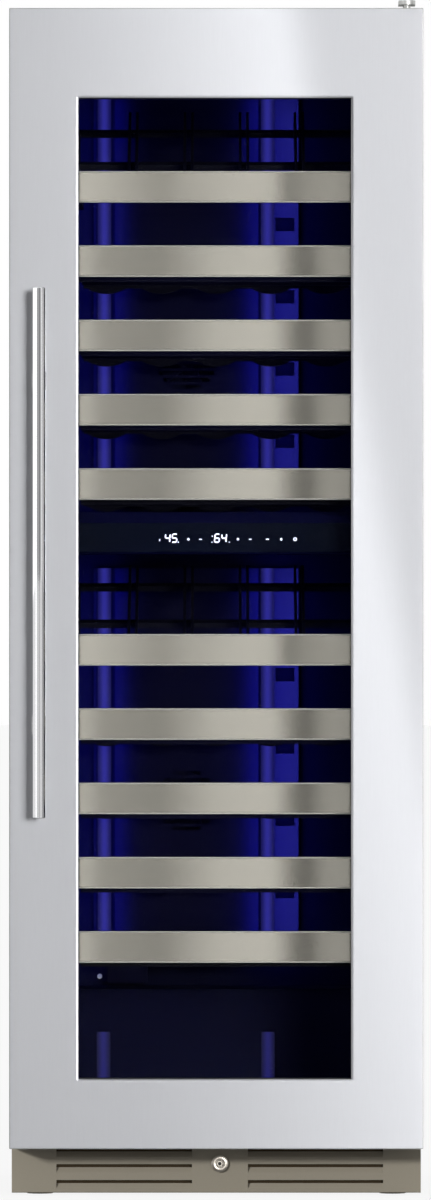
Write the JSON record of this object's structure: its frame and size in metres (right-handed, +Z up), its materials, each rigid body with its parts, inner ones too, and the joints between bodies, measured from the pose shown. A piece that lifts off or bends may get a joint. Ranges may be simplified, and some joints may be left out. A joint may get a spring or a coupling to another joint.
{
  "type": "wine cooler",
  "caption": "Tall wine cooler with a hinged glass door, an upper and a lower temperature zone, sliding bottle shelves and a louvred kick plate.",
  "frame": {"origin": "centre of the bounding box's footprint, on the floor", "axes": "+Z up, -Y towards the person in front of the door, +X towards the hinge side"},
  "size_m": [0.595, 0.673, 1.7205],
  "materials": {
    "door_steel": "satin stainless sheet",
    "shelf_steel": "brushed stainless sheet",
    "polished_steel": "polished stainless bar",
    "hinge_steel": "zinc-plated steel",
    "lock_nickel": "satin nickel plate",
    "zinc_steel": "galvanised sheet",
    "cabinet_paint": "fine-textured powder coat",
    "face_paint": "satin powder coat",
    "kick_taupe": "satin powder coat",
    "compressor_black": "gloss enamel",
    "aluminium": "mill finish",
    "glass_clear": "clear toughened glass",
    "panel_black": "black glass panel",
    "light_blue": "lit blue diffuser",
    "liner_black": "thermoformed liner",
    "duct_black": "moulded cover",
    "rail_black": "moulded slide rail",
    "rack_black": "black moulded rack",
    "door_plastic": "moulded door frame",
    "spacer_black": "pane spacer",
    "bush_plastic": "acetal bush",
    "fan_black": "moulded fan",
    "foot_black": "moulded foot",
    "foam": "rigid polyurethane foam",
    "rubber_grey": "magnetic gasket"
  },
  "bodies": {
    "cabinet": {"outer_wrap": "cabinet_paint", "back_panel": "zinc_steel", "base_pan": "cabinet_paint", "front_frame": "face_paint", "inner_liner": "liner_black", "insulation_foam": "foam", "zone_divider": "liner_black", "control_panel": "panel_black", "light_strips": "light_blue", "duct_covers": "duct_black", "evaporators": "aluminium", "shelf_rails": "rail_black", "floor_rack": "rack_black", "kick_plate": "kick_taupe", "lock_housing": "lock_nickel", "compressor": "compressor_black", "condenser": "aluminium", "rear_grille": "zinc_steel", "top_hinge_bracket": "hinge_steel", "bottom_hinge_bracket": "hinge_steel", "screws": "hinge_steel"},
    "door": {"door_frame": "door_steel", "door_inner_frame": "door_plastic", "outer_pane": "glass_clear", "pane_spacer": "spacer_black", "inner_pane": "glass_clear", "door_gasket": "rubber_grey", "handle_bar": "polished_steel", "handle_posts": "polished_steel", "hinge_bushes": "bush_plastic", "door_keeper": "hinge_steel"},
    "evaporator_fan_upper": {"evaporator_fan_upper": "fan_black"},
    "evaporator_fan_lower": {"evaporator_fan_lower": "fan_black"},
    "condenser_fan": {"condenser_fan": "fan_black"},
    "lock_rotor": {"lock_rotor": "lock_nickel"},
    "lock_bolt": {"lock_bolt": "hinge_steel"},
    "foot_front_left": {"foot_front_left": "foot_black"},
    "foot_front_right": {"foot_front_right": "foot_black"},
    "foot_rear_left": {"foot_rear_left": "foot_black"},
    "foot_rear_right": {"foot_rear_right": "foot_black"},
    "upper_shelf_1": {"upper_shelf_1_front": "shelf_steel", "upper_shelf_1_rack": "rack_black"},
    "upper_shelf_2": {"upper_shelf_2_front": "shelf_steel", "upper_shelf_2_rack": "rack_black"},
    "upper_shelf_3": {"upper_shelf_3_front": "shelf_steel", "upper_shelf_3_rack": "rack_black"},
    "upper_shelf_4": {"upper_shelf_4_front": "shelf_steel", "upper_shelf_4_rack": "rack_black"},
    "upper_shelf_5": {"upper_shelf_5_front": "shelf_steel", "upper_shelf_5_rack": "rack_black"},
    "lower_shelf_1": {"lower_shelf_1_front": "shelf_steel", "lower_shelf_1_rack": "rack_black"},
    "lower_shelf_2": {"lower_shelf_2_front": "shelf_steel", "lower_shelf_2_rack": "rack_black"},
    "lower_shelf_3": {"lower_shelf_3_front": "shelf_steel", "lower_shelf_3_rack": "rack_black"},
    "lower_shelf_4": {"lower_shelf_4_front": "shelf_steel", "lower_shelf_4_rack": "rack_black"},
    "lower_shelf_5": {"lower_shelf_5_front": "shelf_steel", "lower_shelf_5_rack": "rack_black"}
  },
  "joints": [
    {"name": "door_hinge", "type": "hinge", "parent": "cabinet", "child": "door", "pos_m": [0.2745, -0.2595, 0.9], "axis": [0, 0, 1], "range_deg": [0, 110]},
    {"name": "upper_shelf_1_slide", "type": "slide", "parent": "cabinet", "child": "upper_shelf_1", "axis": [0, -1, 0], "range_m": [0, 0.2]},
    {"name": "upper_shelf_2_slide", "type": "slide", "parent": "cabinet", "child": "upper_shelf_2", "axis": [0, -1, 0], "range_m": [0, 0.2]},
    {"name": "upper_shelf_3_slide", "type": "slide", "parent": "cabinet", "child": "upper_shelf_3", "axis": [0, -1, 0], "range_m": [0, 0.2]},
    {"name": "upper_shelf_4_slide", "type": "slide", "parent": "cabinet", "child": "upper_shelf_4", "axis": [0, -1, 0], "range_m": [0, 0.2]},
    {"name": "upper_shelf_5_slide", "type": "slide", "parent": "cabinet", "child": "upper_shelf_5", "axis": [0, -1, 0], "range_m": [0, 0.2]},
    {"name": "lower_shelf_1_slide", "type": "slide", "parent": "cabinet", "child": "lower_shelf_1", "axis": [0, -1, 0], "range_m": [0, 0.2]},
    {"name": "lower_shelf_2_slide", "type": "slide", "parent": "cabinet", "child": "lower_shelf_2", "axis": [0, -1, 0], "range_m": [0, 0.2]},
    {"name": "lower_shelf_3_slide", "type": "slide", "parent": "cabinet", "child": "lower_shelf_3", "axis": [0, -1, 0], "range_m": [0, 0.2]},
    {"name": "lower_shelf_4_slide", "type": "slide", "parent": "cabinet", "child": "lower_shelf_4", "axis": [0, -1, 0], "range_m": [0, 0.2]},
    {"name": "lower_shelf_5_slide", "type": "slide", "parent": "cabinet", "child": "lower_shelf_5", "axis": [0, -1, 0], "range_m": [0, 0.2]},
    {"name": "evaporator_fan_upper_spin", "type": "hinge", "parent": "cabinet", "child": "evaporator_fan_upper", "pos_m": [-0.044, 0.24, 1.215], "axis": [0, 1, 0], "continuous": true},
    {"name": "evaporator_fan_lower_spin", "type": "hinge", "parent": "cabinet", "child": "evaporator_fan_lower", "pos_m": [-0.044, 0.24, 0.56], "axis": [0, 1, 0], "continuous": true},
    {"name": "condenser_fan_spin", "type": "hinge", "parent": "cabinet", "child": "condenser_fan", "pos_m": [0.03, 0.2415, 0.109], "axis": [1, 0, 0], "continuous": true},
    {"name": "lock_turn", "type": "hinge", "parent": "cabinet", "child": "lock_rotor", "pos_m": [0.005, -0.22, 0.045], "axis": [0, -1, 0], "range_deg": [0, 90]},
    {"name": "lock_bolt_slide", "type": "slide", "parent": "cabinet", "child": "lock_bolt", "axis": [0, 0, 1], "range_m": [0, 0.008]},
    {"name": "foot_front_left_turn", "type": "hinge", "parent": "cabinet", "child": "foot_front_left", "pos_m": [-0.255, -0.1725, 0], "axis": [0, 0, 1], "continuous": true},
    {"name": "foot_front_right_turn", "type": "hinge", "parent": "cabinet", "child": "foot_front_right", "pos_m": [0.255, -0.1725, 0], "axis": [0, 0, 1], "continuous": true},
    {"name": "foot_rear_left_turn", "type": "hinge", "parent": "cabinet", "child": "foot_rear_left", "pos_m": [-0.255, 0.2885, 0], "axis": [0, 0, 1], "continuous": true},
    {"name": "foot_rear_right_turn", "type": "hinge", "parent": "cabinet", "child": "foot_rear_right", "pos_m": [0.255, 0.2885, 0], "axis": [0, 0, 1], "continuous": true}
  ],
  "couplings": [
    {"joint": "upper_shelf_1_slide", "follows": "door_hinge", "m_per_rad": 0.1},
    {"joint": "upper_shelf_2_slide", "follows": "door_hinge", "m_per_rad": 0.1},
    {"joint": "upper_shelf_3_slide", "follows": "door_hinge", "m_per_rad": 0.1},
    {"joint": "upper_shelf_4_slide", "follows": "door_hinge", "m_per_rad": 0.1},
    {"joint": "upper_shelf_5_slide", "follows": "door_hinge", "m_per_rad": 0.1},
    {"joint": "lower_shelf_1_slide", "follows": "door_hinge", "m_per_rad": 0.1},
    {"joint": "lower_shelf_2_slide", "follows": "door_hinge", "m_per_rad": 0.1},
    {"joint": "lower_shelf_3_slide", "follows": "door_hinge", "m_per_rad": 0.1},
    {"joint": "lower_shelf_4_slide", "follows": "door_hinge", "m_per_rad": 0.1},
    {"joint": "lower_shelf_5_slide", "follows": "door_hinge", "m_per_rad": 0.1},
    {"joint": "lock_turn", "follows": "lock_bolt_slide", "rad_per_m": 196.3}
  ]
}
